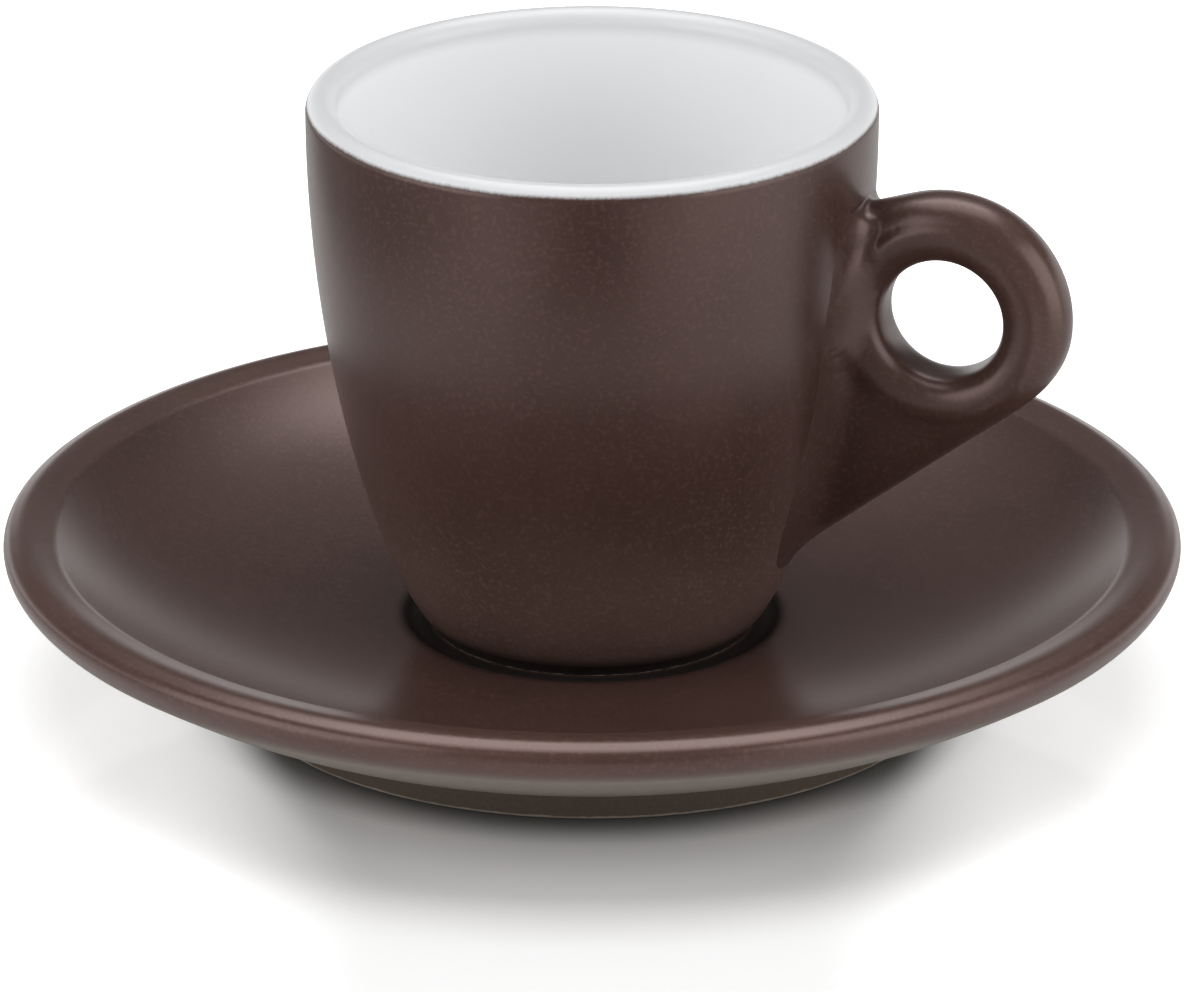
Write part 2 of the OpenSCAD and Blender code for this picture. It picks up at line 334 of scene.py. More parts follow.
class Graph:
    """Builds the node tree of a material or a world with few words."""

    def __init__(self, owner):
        owner.use_nodes = True
        self.owner = owner
        self.tree = owner.node_tree
        self.tree.nodes.clear()
        self.column = 0

    def add(self, kind, sockets=None, **settings):
        node = self.tree.nodes.new(kind)
        self.column += 1
        node.location = (180 * self.column, 0)
        for key, value in settings.items():
            setattr(node, key, value)
        for key, value in (sockets or {}).items():
            self.put(node.inputs[key], value)
        return node

    def put(self, socket, value):
        if isinstance(value, bpy.types.NodeSocket):
            self.tree.links.new(value, socket)
        elif hasattr(socket.default_value, "__len__") and len(value) == 3 \
                and len(socket.default_value) == 4:
            socket.default_value = (*value, 1.0)
        else:
            socket.default_value = value

    def maths(self, operation, a, b):
        return self.add("ShaderNodeMath", {0: a, 1: b}, operation=operation).outputs[0]

    def plus(self, a, b):
        return self.maths("ADD", a, b)

    def times(self, a, b):
        return self.maths("MULTIPLY", a, b)

    def place(self):
        """The point on the piece, in metres."""
        return self.add("ShaderNodeTexCoord").outputs["Object"]

    def part(self, vector, axis):
        return self.add("ShaderNodeSeparateXYZ", {0: vector}).outputs[axis]

    def measure(self, operation, a, b=(0, 0, 0)):
        """A length, a distance or a dot product of vectors."""
        return self.add("ShaderNodeVectorMath", {0: a, 1: b}, operation=operation).outputs["Value"]

    def radius(self, where):
        """The distance from the axis."""
        flat = self.add("ShaderNodeVectorMath", {0: where, 1: (1, 1, 0)}, operation="MULTIPLY")
        return self.measure("LENGTH", flat.outputs[0])

    def noise(self, where, scale, detail=2.0, rough=0.5):
        return self.add("ShaderNodeTexNoise", {"Vector": where, "Scale": scale, "Detail": detail,
                                               "Roughness": rough}).outputs["Fac"]

    def ramp(self, value, low, high, first=0.0, last=1.0):
        """A value eased from first to last as it goes from low to high."""
        return self.add("ShaderNodeMapRange", {0: value, 1: low, 2: high, 3: first, 4: last},
                        interpolation_type="SMOOTHSTEP").outputs[0]

    def mix(self, share_of_b, a, b, **settings):
        node = self.add("ShaderNodeMix", data_type="RGBA", **settings)
        for key, value in zip((0, 6, 7), (share_of_b, a, b)):
            self.put(node.inputs[key], value)
        return node.outputs[2]

    def tinted(self, colour, tint):
        return self.mix(1.0, colour, tint, blend_type="MULTIPLY")

    def bumped(self, strength, distance, relief):
        return self.add("ShaderNodeBump", {"Strength": strength, "Distance": distance,
                                           "Height": relief}).outputs[0]

    def end(self, shader, kind="ShaderNodeOutputMaterial"):
        """Joins the shader to the output and gives back the material or world."""
        self.add(kind, {"Surface": shader})
        return self.owner


def material_graph(name):
    return Graph(bpy.data.materials.get(name) or bpy.data.materials.new(name))


# The scales of the glaze's patterns: clouds, grain, specks, ripples of the surface, clay's edge
CLOUDS, GRAIN, SPECKS, RIPPLES, CLAY_EDGE = 55.0, 3200.0, 2000.0, 180.0, 900.0
# Most that each pattern shows, and the range of the noise over which it comes
CLOUD_RAMP = (0.3, 0.7, 0.35, 0.65)
GRAIN_RAMP = (0.36, 0.66, 0.0, 0.62)
SPECK_RAMP = (0.50, 0.68, 0.0, 0.68)
SATIN_SPREAD = 0.02
SATIN_GLINT = (1.0, 0.76, 0.72)         # the warm tint of the satin glaze's gloss
SATIN_RELIEF, SATIN_DEPTH, RIPPLE_SHARE = 0.09, 0.00003, 0.8
GLASS_IOR = 1.5

# Painted light makes the glaze paler down to the cup's foot, and painted shade lies almost black in
# the well's ring and round the cup's foot
PAINTED_FOOT_LIGHT = (2.35, 2.75, 2.85)
CREVICE_SHADE_COLOUR = (0.0025, 0.0016, 0.0014)
CREVICE_SHADE_ROUGH = 0.5
CREVICE_SHADE_IN, CREVICE_SHADE_OUT = (-0.0004, 0.0002), (-0.0002, 0.0020)

# Where the saucer faces down, and on the outside of its foot, the glaze is painted olive, paler on
# the foot: a painted reflection of the pale floor under it
OLIVE_DEEP, OLIVE, OLIVE_PALE = (0.085, 0.066, 0.050), (0.105, 0.082, 0.063), (1.35, 1.38, 1.42)
UNDER_RAMP = (-0.88, -0.5, 1.0, 0.0)
FOOT_RAMP = (0.0045, 0.0062, 1.0, 0.0)

# The bare clay ends in an uneven line
BARE_WAVE, BARE_BELOW, BARE_ABOVE, BARE_ROUGH = -0.0003, 0.00012, 0.00006, 0.45


def brown_glaze(name, glazes, bare_height, crevice_shade=None, painted_paling=None, under=False, shade=1.0):
    """Satin brown glaze with fine grain, and bare clay below bare_height.

    Painted shade lies almost black between the two radii of the crevice ring, below its two
    heights.
    Painted light makes it paler down from one height of the grade to the other, a painted
    reflection of the floor makes it olive where it is under the piece, and shade darkens it all as
    painted shade.
    """
    g = material_graph(name)
    where = g.place()
    height = g.part(where, "Z")
    grain = g.noise(where, GRAIN, 3.0, 0.62)
    speck = g.noise(where, SPECKS)
    skin = g.mix(g.ramp(g.noise(where, CLOUDS, 3.0, 0.55), *CLOUD_RAMP),
                 glazes.brown_deep, glazes.brown_warm)
    skin = g.mix(g.ramp(grain, *GRAIN_RAMP), skin, glazes.brown)
    skin = g.mix(g.ramp(speck, *SPECK_RAMP), skin, glazes.brown_warm)
    # Painted shade: the whole glaze is darkened
    if shade < 1:
        skin = g.tinted(skin, (shade,) * 3)
    # Painted light: the glaze grows paler down the wall
    if painted_paling:
        skin = g.mix(g.ramp(height, *painted_paling), skin, g.tinted(skin, PAINTED_FOOT_LIGHT))
    # Painted reflection of the floor: olive where the piece faces down, paler on its foot
    if under:
        facing = g.part(g.add("ShaderNodeNewGeometry").outputs["Normal"], "Z")
        on_foot = g.ramp(height, *FOOT_RAMP)
        hidden = g.maths("MAXIMUM", g.ramp(facing, *UNDER_RAMP), on_foot)
        olive = g.mix(g.ramp(grain, 0.3, 0.7), OLIVE_DEEP, OLIVE)
        skin = g.mix(hidden, skin, g.mix(on_foot, g.tinted(olive, OLIVE_PALE), olive))
    # Painted shade: almost black in a ring between two radii and below two heights, with more
    # roughness there
    crevice_shade_rough = 0.0
    if crevice_shade:
        near, far, low, high = crevice_shade
        radius = g.radius(where)
        ring = g.times(g.ramp(radius, near + CREVICE_SHADE_IN[0], near + CREVICE_SHADE_IN[1]),
                       g.ramp(radius, far + CREVICE_SHADE_OUT[0], far + CREVICE_SHADE_OUT[1], 1.0, 0.0))
        crevice_shaded = g.times(ring, g.ramp(height, low, high, 1.0, 0.0))
        skin = g.mix(crevice_shaded, skin, CREVICE_SHADE_COLOUR)
        crevice_shade_rough = g.times(crevice_shaded, CREVICE_SHADE_ROUGH)
    edge = g.plus(height, g.times(g.noise(where, CLAY_EDGE), BARE_WAVE))
    bare = g.ramp(edge, bare_height - BARE_BELOW, bare_height + BARE_ABOVE, 1.0, 0.0)
    satin = g.ramp(speck, 0.3, 0.7, glazes.satin - SATIN_SPREAD, glazes.satin + SATIN_SPREAD)
    rough = g.plus(satin, g.plus(g.times(bare, BARE_ROUGH), crevice_shade_rough))
    relief = g.plus(speck, g.times(g.noise(where, RIPPLES), RIPPLE_SHARE))
    shader = g.add("ShaderNodeBsdfPrincipled", {
        "Base Color": g.mix(bare, skin, glazes.clay), "Roughness": rough, "IOR": GLASS_IOR,
        "Specular Tint": SATIN_GLINT, "Normal": g.bumped(SATIN_RELIEF, SATIN_DEPTH, relief)})
    return g.end(shader.outputs[0])


# The white glaze's patterns: grains along its edge, sag of the edge, clouds, ripples
EDGE_GRAIN, EDGE_SAG, WHITE_CLOUDS, WHITE_RIPPLES = 2600.0, 90.0, 40.0, 160.0
EDGE_GRAIN_WAVE, EDGE_SAG_WAVE = -0.00022, -0.0003
EDGE_SOFT, EDGE_ROUGH = 0.00025, 0.16
OUTSIDE_FROM, OUTSIDE_TO = 0.0006, 0.0003       # in from the rim's radius
# Painted light: the white inside is lighter than on the lip, between these depths
PAINTED_INSIDE_FROM, PAINTED_INSIDE_TO = 0.0032, 0.0004           # down from the rim's top
CLOUD_SHARE, CLOUD_DARK = 0.5, 0.03
GLOSS_SPREAD, GLOSS_LEVEL = 0.04, 0.28
WHITE_RELIEF, WHITE_DEPTH = 0.10, 0.00008


def white_glaze(name, glazes, cup):
    """Gloss white glaze, with grains of brown along its lower edge outside the lip."""
    g = material_graph(name)
    where = g.place()
    height = g.part(where, "Z")
    edge = cup.top - cup.wall / 2 * (1 - math.sin(cup.lining_from))
    wave = g.plus(g.times(g.noise(where, EDGE_GRAIN, 2.0, 0.55), EDGE_GRAIN_WAVE),
                  g.times(g.noise(where, EDGE_SAG, 1.0), EDGE_SAG_WAVE))
    near_edge = g.ramp(g.plus(height, wave), edge - EDGE_SOFT, edge + EDGE_SOFT, 1.0, 0.0)
    outside = g.ramp(g.radius(where), cup.rim_radius - OUTSIDE_FROM, cup.rim_radius - OUTSIDE_TO)
    brown = g.times(near_edge, outside)
    # Painted shade on the lip's white and painted light on the white inside
    inside = g.ramp(height, cup.top - PAINTED_INSIDE_FROM, cup.top - PAINTED_INSIDE_TO, 1.0, 0.0)
    cloud = g.noise(where, WHITE_CLOUDS)
    white = g.mix(inside, glazes.white, glazes.white_inside_painted_light)
    white = g.mix(g.ramp(cloud, 0.3, 0.7, 0.0, CLOUD_SHARE), white,
                  g.mix(CLOUD_DARK, white, (0, 0, 0)))
    gloss = g.ramp(cloud, 0.3, 0.7, glazes.gloss, glazes.gloss + GLOSS_SPREAD)
    shader = g.add("ShaderNodeBsdfPrincipled", {
        "Base Color": g.mix(brown, white, glazes.brown),
        "Roughness": g.plus(gloss, g.times(brown, EDGE_ROUGH)),
        "IOR": GLASS_IOR, "Specular IOR Level": GLOSS_LEVEL,
        "Normal": g.bumped(WHITE_RELIEF, WHITE_DEPTH, g.noise(where, WHITE_RIPPLES))})
    return g.end(shader.outputs[0])


# Operators, one for each piece

# The rim's shoulder, soft edge and lower edge, and the slopes of the section in degrees
SHOULDER_DROP, SHOULDER_ROUND = 0.0004, 0.0022
EDGE_IN, EDGE_DROP, EDGE_ROUND = 0.00145, 0.00172, 0.0014
LOWER_IN = 0.00155
DISH_SLOPE, SHOULDER_SLOPE, EDGE_SLOPE = 36.0, 10.0, -24.0
FACE_TOP_SLOPE, FACE_LOW_SLOPE, LOWER_SLOPE, UNDER_SLOPE = -81.0, -140.0, -147.0, 20.0

# Where the clay is bare and where painted shade lies dark: heights over the table or the seat, and
# radii
SAUCER_BARE, CUP_BARE = 0.0003, 0.00005
WELL_SHADE_IN, WELL_SHADE_TOP = 0.0174, (0.0002, 0.0006)
CUP_CREVICE_SHADE, CUP_CREVICE_SHADE_TOP = (0.016, 0.022), (0.0007, 0.0032)
# Painted light: the cup's glaze grows paler down the wall between these heights
CUP_PAINTED_PALING = (0.034, 0.010)
# Painted shade: the cup's and the handle's glaze is darker than the saucer's
CUP_PAINTED_SHADE, HANDLE_PAINTED_SHADE = 0.80, 0.86


class ESPRESSO_OT_saucer(bpy.types.Operator):
    """Turn the dished saucer with its well, rounded rim and foot ring"""
    bl_idname = "espresso.saucer"
    bl_label = "Saucer"

    def execute(self, context):
        s = context.scene.espresso_saucer
        dish = s.seat + s.well_depth
        dish_from = Vector((s.well + s.well_round, dish))
        shoulder = arc((s.radius - s.crown, s.height - SHOULDER_DROP - SHOULDER_ROUND),
                       SHOULDER_ROUND, DISH_SLOPE + 90, SHOULDER_SLOPE + 90, 10)
        edge = arc((s.radius - EDGE_IN, s.height - EDGE_DROP), EDGE_ROUND,
                   EDGE_SLOPE + 90, FACE_TOP_SLOPE + 90, 10)
        crown_top = Vector((s.radius - s.crown / 2, s.height))
        lower = Vector((s.radius - LOWER_IN, s.height - s.face))
        foot_in = s.foot - s.foot_width
        foot_top = Vector((s.foot + s.foot_draft, s.foot_height + s.foot_round))
        r = s.foot_round
        line = joined(
            straight((0, s.seat), (s.well - s.well_round, s.seat), 8),
            cubic((s.well - s.well_round, s.seat), (s.well, s.seat), (s.well, dish), dish_from, 10),
            swept(dish_from, 0, 0.44, shoulder[0], DISH_SLOPE, 0.29, 60),
            shoulder,
            swept(shoulder[-1], SHOULDER_SLOPE, 0.36, crown_top, 0, 0.36, 10),
            swept(crown_top, 0, 0.36, edge[0], EDGE_SLOPE, 0.36, 10),
            edge,
            swept(edge[-1], FACE_TOP_SLOPE, 0.32, lower, FACE_LOW_SLOPE, 0.37, 16),
            swept(lower, LOWER_SLOPE, 0.5, foot_top, UNDER_SLOPE + 180, 0.36, 40),
            straight(foot_top, (s.foot, r), 4),
            arc((s.foot - r, r), r, 0, -90, 8),
            arc((foot_in + r, r), r, -90, -180, 8),
            arc((foot_in - r, s.foot_height - r), r, 0, 90, 8),
            straight((foot_in - r, s.foot_height), (0, s.foot_height), 8))
        piece = turned(line, s.steps)
        # Painted shade, almost black, in the ring round the well's floor
        crevice_shade = (WELL_SHADE_IN, s.well, *(dish + rise for rise in WELL_SHADE_TOP))
        material = brown_glaze("saucer_glaze", context.scene.espresso_glazes, SAUCER_BARE,
                               crevice_shade=crevice_shade, under=True)
        finish_piece(piece, "saucer_turned", "saucer", "saucer", material)
        return {"FINISHED"}


class ESPRESSO_OT_cup_shell(bpy.types.Operator):
    """Turn the cup's clay shell with its foot ring"""
    bl_idname = "espresso.cup_shell"
    bl_label = "Cup Shell"

    def execute(self, context):
        c = context.scene.espresso_cup
        lip = Vector((c.rim_radius - c.wall / 2, c.top - c.wall / 2))
        rim_from = math.degrees(c.lining_from)
        stand = c.foot_radius - c.foot_draft
        foot_in = stand - c.foot_width
        r = c.foot_round
        bowl = clay_bowl(c)
        line = joined(
            reversed(bowl),
            reversed(arc(lip, c.wall / 2 - c.lining, rim_from, 180, 16)),
            arc(lip, c.wall / 2, rim_from, 0, 8),
            cup_outside(c),
            straight((c.foot_radius, c.seat + c.foot_height), (stand, c.seat + r), 3),
            arc((stand - r, c.seat + r), r, 0, -90, 6),
            arc((foot_in + r, c.seat + r), r, -90, -180, 6),
            [(foot_in - c.foot_draft, c.seat + c.recess)],
            straight((foot_in - c.foot_draft, c.seat + c.recess), (0, c.seat + c.recess), 6))
        piece = turned(line, c.steps)
        # Painted shade, almost black, round the cup's foot
        crevice_shade = (*CUP_CREVICE_SHADE, *(c.seat + rise for rise in CUP_CREVICE_SHADE_TOP))
        # The cup's glaze gets painted light paler down the wall and painted shade all over
        material = brown_glaze("cup_glaze", context.scene.espresso_glazes, c.seat + CUP_BARE,
                               crevice_shade=crevice_shade, painted_paling=CUP_PAINTED_PALING, shade=CUP_PAINTED_SHADE)
        finish_piece(piece, "cup_shell", "cup", "cup_body", material)
        return {"FINISHED"}


class ESPRESSO_OT_lining(bpy.types.Operator):
    """Turn the white lining over the lip and the bowl"""
    bl_idname = "espresso.lining"
    bl_label = "White Lining"

    def execute(self, context):
        c = context.scene.espresso_cup
        lip = Vector((c.rim_radius - c.wall / 2, c.top - c.wall / 2))
        rim_from = math.degrees(c.lining_from)
        line = joined(
            reversed(cup_bowl(c)),
            reversed(arc(lip, c.wall / 2, rim_from, 180, 24)),
            arc(lip, c.wall / 2 - c.lining, rim_from, 180, 16),
            clay_bowl(c))
        piece = turned(line, c.steps)
        material = white_glaze("white_lining", context.scene.espresso_glazes, c)
        finish_piece(piece, "white_lining", "cup", "lining_glaze", material)
        return {"FINISHED"}


CORNER_STEPS, HOLE_CORNER_STEPS, CORNER_PICK = 5, 4, 0.49
WEB_THINNING = 1.5      # how fast the web thins as it is drawn out
NECK_IN, NECK_OUT, NECK_SMOOTHING = -0.0008, 0.0022, 4


class ESPRESSO_OT_handle(bpy.types.Operator):
    """Loft the ring handle round the finger hole and root it on the wall"""
    bl_idname = "espresso.handle"
    bl_label = "Ring Handle"

    def execute(self, context):
        c, h = context.scene.espresso_cup, context.scene.espresso_handle
        hole = Vector((c.rim_radius + h.ring_away, 0, c.top - h.ring_drop))
        ring_mid = (h.finger + h.width) / 2
        ring_out = h.finger / 2 + h.width
        reach = handle_reach(c, h, hole, ring_out)

        # The ring: a square with rounded corners, spun round the finger hole
        deselect()
        start = hole + Vector((ring_mid, 0, 0))
        bpy.ops.mesh.primitive_plane_add(size=1, location=start)
        piece = bpy.context.object
        edit()
        bpy.ops.mesh.select_all(action="SELECT")
        bpy.ops.transform.resize(value=(h.width, h.thick, 1), center_override=start)
        pick(piece, lambda v: v.co.x > 0)
        bpy.ops.mesh.bevel(offset=h.corner, segments=CORNER_STEPS, profile=0.5,
                           affect="VERTICES")
        pick(piece, lambda v: v.co.x < -h.width * CORNER_PICK)
        bpy.ops.mesh.bevel(offset=h.hole_corner, segments=HOLE_CORNER_STEPS, profile=0.5,
                           affect="VERTICES")
        bpy.ops.mesh.select_all(action="SELECT")
        bpy.ops.mesh.delete(type="ONLY_FACE")
        bpy.ops.mesh.select_all(action="SELECT")
        bpy.ops.mesh.spin(steps=h.steps, angle=math.tau, center=hole, axis=(0, -1, 0))
        bpy.ops.mesh.select_all(action="SELECT")
        bpy.ops.mesh.remove_doubles(threshold=10 * NEAR)
        bpy.ops.mesh.normals_make_consistent(inside=False)
        bpy.ops.object.mode_set(mode="OBJECT")
        bpy.ops.object.transform_apply(location=True, rotation=True, scale=True)

        # The tail and the web: each section's outer half is drawn out to the tail's edge
        for step in range(h.steps):
            turn = math.tau * step / h.steps
            draw = (reach(math.degrees(turn)) - ring_mid) / (h.width / 2)
            if abs(draw - 1) < NEAR:
                continue
            out = Vector((math.cos(turn), 0, math.sin(turn)))
            side = Vector((math.sin(turn), 0, -math.cos(turn)))
            middle = hole + ring_mid * out

            def in_outer_half(v):
                away = v.co - hole
                return (abs(away.dot(side)) < 10 * NEAR and away.dot(out) > ring_mid + NEAR)
            pick(piece, in_outer_half)
            axes = Matrix((out, (0, 1, 0), side)).transposed()
            bpy.ops.transform.resize(value=(draw, 1, 1), center_override=middle,
                                     orient_type="GLOBAL", orient_matrix=axes,
                                     orient_matrix_type="GLOBAL",
                                     constraint_axis=(True, False, False))
            thin = 1 - (1 - h.web_share) * min(1.0, (draw - 1) * WEB_THINNING)
            bpy.ops.transform.resize(value=(1, thin, 1), center_override=middle,
                                     orient_type="GLOBAL",
                                     constraint_axis=(False, True, False))
        bpy.ops.object.mode_set(mode="OBJECT")
        rounding = piece.modifiers.new("rounding", "SUBSURF")
        rounding.levels = rounding.render_levels = 2
        bpy.ops.object.modifier_apply(modifier=rounding.name)
        bead_round_hole(piece, h, hole)
        root_on_wall(piece, c, h)
        at = wall_line(c)
        pick(piece, lambda v: v.co.z > hole.z + h.finger / 3
             and NECK_IN < math.hypot(v.co.x, v.co.y) - at(v.co.z)[0] < NECK_OUT)
        bpy.ops.mesh.vertices_smooth(factor=0.5, repeat=NECK_SMOOTHING)
        bpy.ops.object.mode_set(mode="OBJECT")
        # The handle's glaze gets painted shade, darker than the saucer's
        material = brown_glaze("handle_glaze", context.scene.espresso_glazes, 0.0,
                               shade=HANDLE_PAINTED_SHADE)
        finish_piece(piece, "ring_handle", "cup", "cup_handle", material, 60.0)
        return {"FINISHED"}


BEAD = 0.57             # width of the bead round the finger hole, as a share of the ring's width
BEAD_STEPS, BEAD_STEP, BEAD_THIN = 4, 0.0002, 0.980


def bead_round_hole(piece, h, hole):
    """Leaves a raised bead round the finger hole: what lies outside it is pressed thinner."""
    bead_out = h.finger / 2 + h.width * BEAD
    for step in range(BEAD_STEPS):
        past = bead_out + step * BEAD_STEP
        pick(piece, lambda v: math.hypot(v.co.x - hole.x, v.co.z - hole.z) > past)
        bpy.ops.transform.resize(value=(1, BEAD_THIN, 1), center_override=hole,
                                 orient_type="GLOBAL", constraint_axis=(False, True, False))
    bpy.ops.object.mode_set(mode="OBJECT")


# Where the handle's buried edge runs, as shares of the rim's radius, and turns in degrees: from
# the ring's top to the wall, from there down to the buried edge, the bare tail, its easing in
BURIED_TOP, BURIED_FOOT = 0.86, 0.58
TOP_FROM, BURY_FROM, BURY_TO = 107.0, 130.0, 150.0
TAIL_BARE, TAIL_EASE = 58.0, 45.0


def handle_reach(c, h, hole, ring_out):
    """Distance from the finger hole's middle to the handle's outer edge, by angle in degrees."""
    tail_from = 270.0 + math.degrees(h.tail)
    tail_out = ring_out - h.tail_in
    top, low = c.rim_radius * BURIED_TOP, c.rim_radius * BURIED_FOOT
    lean = math.atan2(top - low, c.top - c.seat)
    away = (hole.x - low) * math.cos(lean) - (hole.z - c.seat) * math.sin(lean)

    def tail(a):
        return tail_out / math.cos(math.radians(tail_from - a))

    def buried(a):
        return away / -math.cos(math.radians(a) + lean)

    def reach(a):
        if TOP_FROM < a <= BURY_FROM:
            return ring_out / math.cos(math.radians(a - TOP_FROM))
        if a >= tail_from:
            return ring_out - h.tail_in * eased(1 - (a - tail_from) / TAIL_EASE)
        if a <= TOP_FROM:
            return ring_out
        if a < BURY_TO:
            top = ring_out / math.cos(math.radians(BURY_FROM - TOP_FROM))
            return top + (buried(a) - top) * (a - BURY_FROM) / (BURY_TO - BURY_FROM)
        if a <= tail_from - 90:
            return buried(a)
        if a < tail_from - TAIL_BARE:
            return min(tail(a), buried(a))
        return tail(a)
    return reach


HIDDEN_DEPTH = 0.0012       # how deep the root sinks into the clay wall
MEET = math.radians(78.0)   # turn of the fillet where it meets the wall, short of lying on it
HOLD_FROM, HOLD_OVER = 0.35, 0.5    # how far the skin leans before the fillet takes hold of it
LAST_RUN = 0.001            # skin past the fillet's end that still spreads on the wall


def root_on_wall(piece, c, h):
    """Rolls the root's skin out on the wall, so that it meets the wall in a hollow fillet."""
    at = wall_line(c)
    mesh = piece.data
    places = [v.co.copy() for v in mesh.vertices]
    normals = [v.normal.copy() for v in mesh.vertices]
    for vertex, place, normal in zip(mesh.vertices, places, normals):
        radius = math.hypot(place.x, place.y)
        wall, slope = at(place.z)
        lean = math.atan(slope)
        gap = (radius - wall) * math.cos(lean)
        if gap >= h.root_start:
            continue
        out = Vector((place.x, place.y, 0)) / radius
        wall_out = out * math.cos(lean) - Vector((0, 0, math.sin(lean)))
        round_it = Vector((-out.y, out.x, 0))
        up_it = wall_out.cross(round_it)
        if up_it.z < 0:
            up_it.negate()
        side, rise = normal.dot(round_it), normal.dot(up_it)
        spread = math.hypot(side, rise)
        if spread < NEAR:
            continue
        side_share, rise_share = side / spread, rise / spread
        edge_spread = h.root_top if rise > 0 else h.root_foot
        reach_out = h.root_side * side_share ** 4 + edge_spread * (1 - side_share ** 4)
        start = min(h.root_start, reach_out / math.sin(MEET))
        if gap >= start:
            continue
        hold = eased((spread - HOLD_FROM) / HOLD_OVER)
        size = start / math.sin(MEET)
        run = start - gap
        turn = min(run / size, MEET)
        new_gap = start - size * math.sin(turn)
        lateral = (1 - math.cos(turn)) * reach_out
        past = run - size * MEET
        if past > 0:
            lateral += min(past, LAST_RUN) * reach_out / size
            new_gap = -min(past * math.cos(MEET), HIDDEN_DEPTH)
        new_gap = gap + (new_gap - gap) * hold
        lateral *= hold
        moved_to = place + lateral * (side_share * round_it + rise_share * up_it)
        wall, slope = at(moved_to.z)
        new_radius = wall + new_gap / math.cos(math.atan(slope))
        flat = Vector((moved_to.x, moved_to.y, 0))
        vertex.co = flat.normalized() * new_radius + Vector((0, 0, moved_to.z))
    for vertex in mesh.vertices:
        flat = Vector((vertex.co.x, vertex.co.y, 0))
        deepest = at(vertex.co.z)[0] - HIDDEN_DEPTH
        if flat.length < deepest:
            vertex.co = flat.normalized() * deepest + Vector((0, 0, vertex.co.z))
    mesh.update()


# Stage

FLOOR_RADIUS, FLOOR_INSET = 2.2, 1.2
FLOOR_ROUGH, FLOOR_IOR = 0.12, 1.4

# The floor's tones, each eased from a low to a high distance and from a first to a last value:
# painted shadow dark close round the saucer's foot, and painted light whiter for the camera beside,
# behind and far from it
# Painted shadow in the floor's colour round the saucer's foot
FOOT_SHADE = (0.03, 0.035, 0.035)
SHADE_RAMP = (0.0375, 0.0455, 0.93, 0.0)
BESIDE_RAMP, BESIDE_FROM = (0.021, 0.046, 0.0, 0.52), (0.070, 0.0825)
BEHIND_RAMP, BEHIND_FROM = (0.030, 0.070, 0.0, 0.60), (0.0625, 0.080)
NEAR_RAMP, FAR_RAMP = (0.07, 0.15, 0.0, 0.14), (0.10, 0.20, 0.0, 0.45)
# The saucer's outline as a painted reflection, faint on the floor at both sides
MIRROR_BEFORE = 0.060
MIRROR_RAMP, MIRROR_FROM = (0.0605, 0.0635, 0.045, 0.0), (0.030, 0.045)

# Places are given as seen from the camera: to the right, away from it, up; then size and power
AIM = (0, 0, 0.03)
SOFTBOXES = (
    ("top_softbox", (0.0, 0.05, 1.0), (0.85, 0.75), 5.7),
    ("left_softbox", (-0.955, -0.508, 0.42), (1.07, 0.88), 9.0),
    ("right_softbox", (0.955, -0.508, 0.42), (1.07, 0.88), 9.1),
)
# Painted reflections that show only in gloss: a bright card over the top softbox's far half, then
# dull cloths on the floor
PAINTED_GLINT_CARD = ("painted_glint_card", (0.0, 0.27, 0.99), (0.95, 0.74), 3.9)
PAINTED_REFLECTION_CLOTHS = (
    ("painted_dark_reflection", (0, -0.36, 0.0014), (0.095, 0.47), 0.01),
    ("painted_grey_reflection", (-0.21, 0.04, 0.0012), (0.17, 0.42), 0.20),
)

# The room's light: a low bright band and a dim upper part behind, plain in front
LOW_BAND, UPPER_PART = (6, 15, 1.5, 0.10), (26, 46, 0.0, 0.28)
FRONT_LEVEL, BEHIND_TURN = 0.30, (-0.1, 0.35)

SENSOR, SHIFT, CLIP = 36.0, 0.00656, (0.05, 20.0)


def area_lamp(name, place, size, power):
    deselect()
    bpy.ops.object.light_add(type="AREA", location=place)
    lamp = bpy.context.object
    lamp.name = lamp.data.name = name
    lamp.data.shape = "RECTANGLE"
    lamp.data.size, lamp.data.size_y = size
    lamp.data.energy = power
    lamp.visible_camera = False
    lamp.rotation_euler = (Vector(AIM) - Vector(place)).to_track_quat("-Z", "Y").to_euler()


def mirrored_sheet(name, place, turn, size, shader, sockets, one_sided=False):
    """A level sheet that shows only in gloss as a painted reflection, only from above if one-sided.
    """
    deselect()
    bpy.ops.mesh.primitive_plane_add(size=1, location=place, rotation=(0, 0, turn))
    sheet = bpy.context.object
    sheet.scale = (*size, 1)
    sheet.name = sheet.data.name = name
    g = material_graph(name)
    surface = g.add(shader, sockets).outputs[0]
    if one_sided:
        surface = g.add("ShaderNodeMixShader", {
            0: g.add("ShaderNodeNewGeometry").outputs["Backfacing"], 1: surface,
            2: g.add("ShaderNodeBsdfTransparent").outputs[0]}).outputs[0]
    sheet.data.materials.append(g.end(surface))
    sheet.visible_camera = sheet.visible_diffuse = sheet.visible_shadow = False


